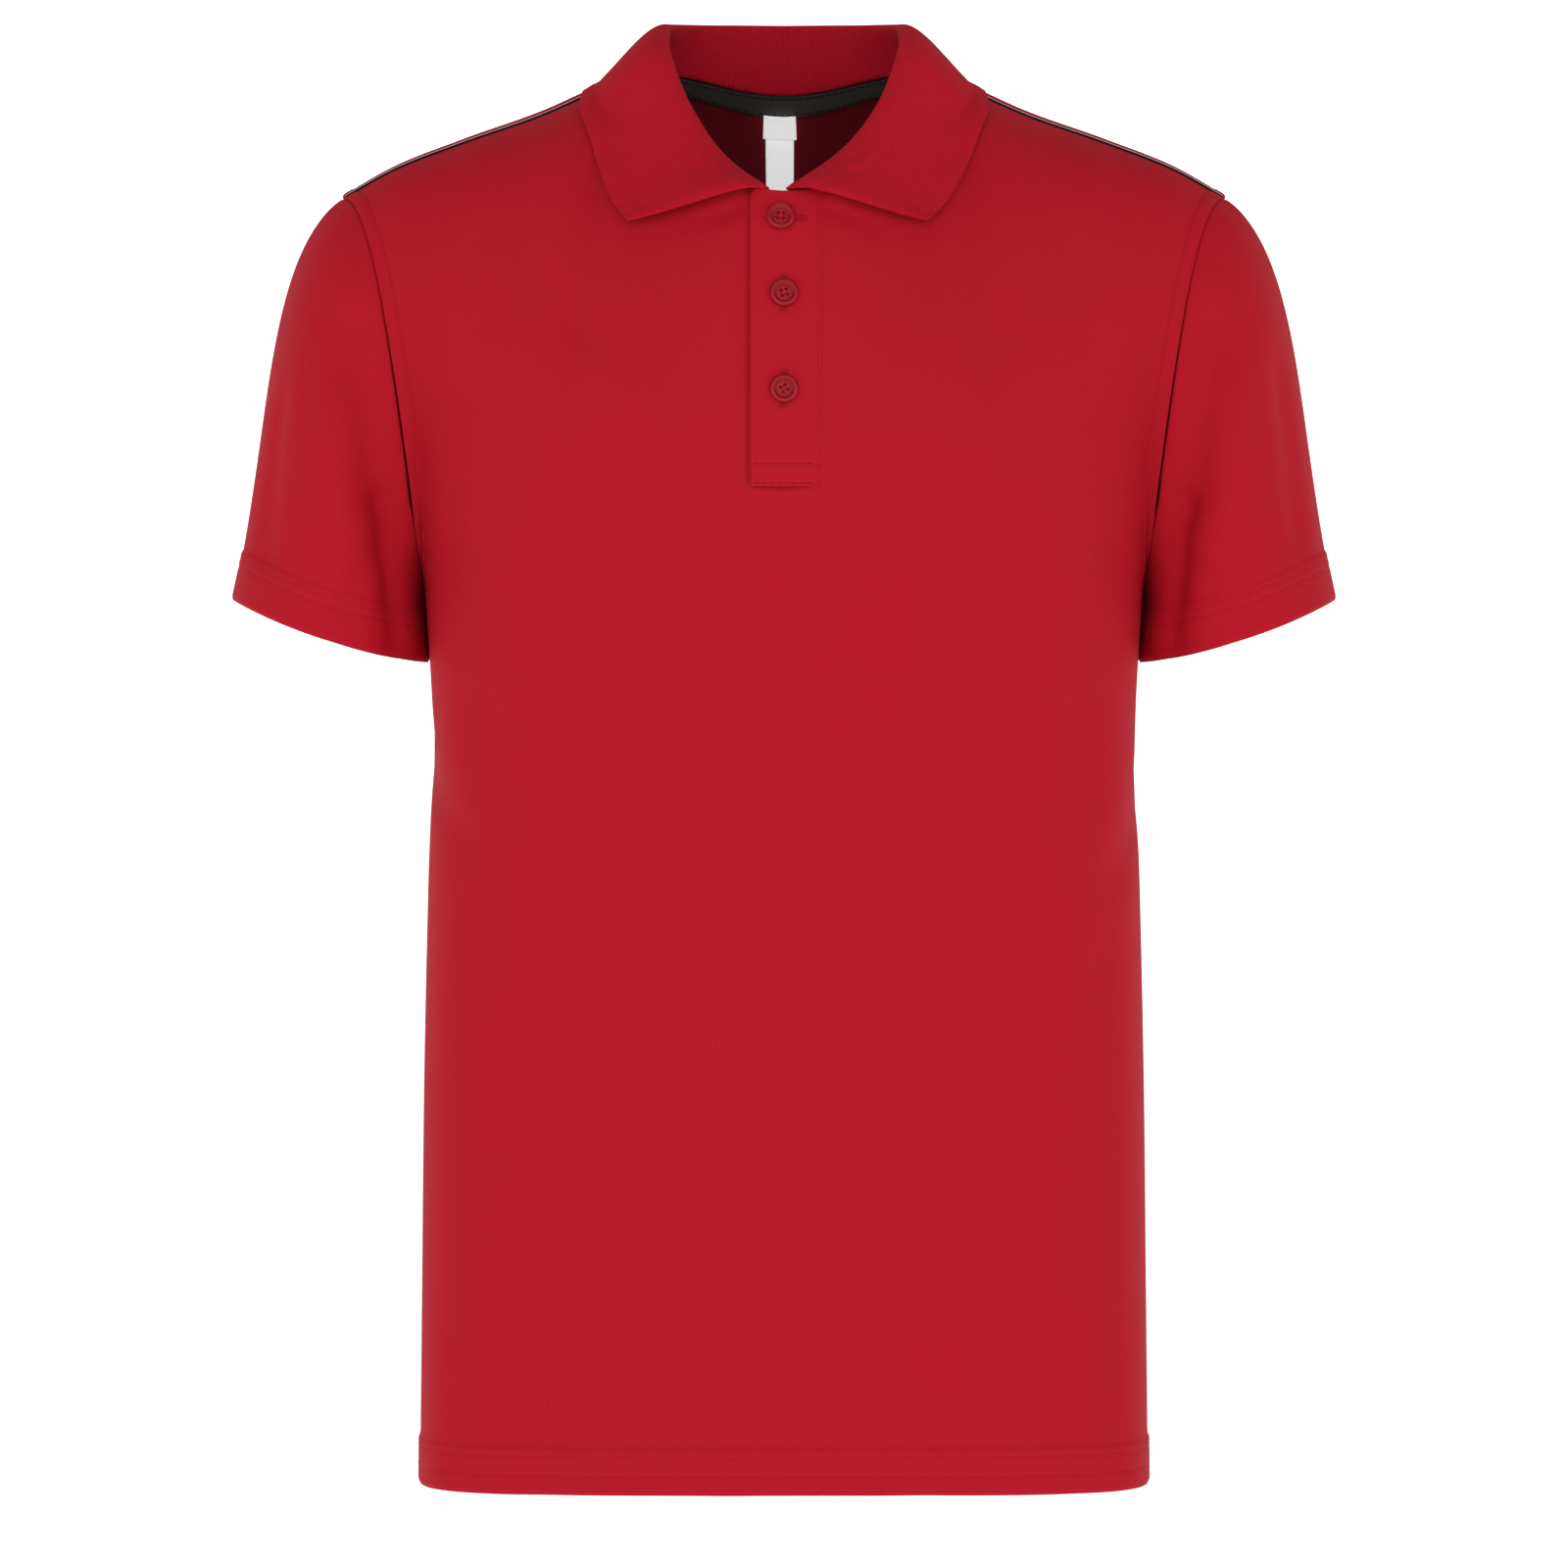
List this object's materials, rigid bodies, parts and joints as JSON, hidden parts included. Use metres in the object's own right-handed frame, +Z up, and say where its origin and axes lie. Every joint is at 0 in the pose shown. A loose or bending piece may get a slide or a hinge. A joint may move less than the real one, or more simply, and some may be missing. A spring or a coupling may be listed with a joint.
{
  "type": "polo shirt",
  "caption": "child's short-sleeved sports polo shirt, filled out as worn, with a rib-knit collar, a short button placket and piped shoulder seams",
  "frame": {"origin": "the middle of the neck, level with the points where the shoulder seams meet the collar, which is where the wearer's shoulders carry the shirt", "axes": "+Z up along the body, front faces -Y, +X towards the wearer's left"},
  "size_m": [0.41, 0.1797, 0.5434],
  "materials": {
    "jersey": "fine red knitted polyester, soft dull sheen",
    "rib": "red flat-knit rib with a fine saw-tooth edge",
    "trim": "dark grey woven tape",
    "label": "white satin label tape",
    "button": "moulded red plastic, softly polished"
  },
  "bodies": {
    "root": {"front": "jersey", "back": "jersey", "sleeve_left": "jersey", "sleeve_right": "jersey", "collar": "rib", "placket_top": "jersey", "placket_under": "jersey", "button_1": "button", "button_2": "button", "button_3": "button", "neck_tape": "trim", "size_tab": "label", "neck_label": "label", "piping_left": "trim", "piping_right": "trim"}
  },
  "joints": []
}
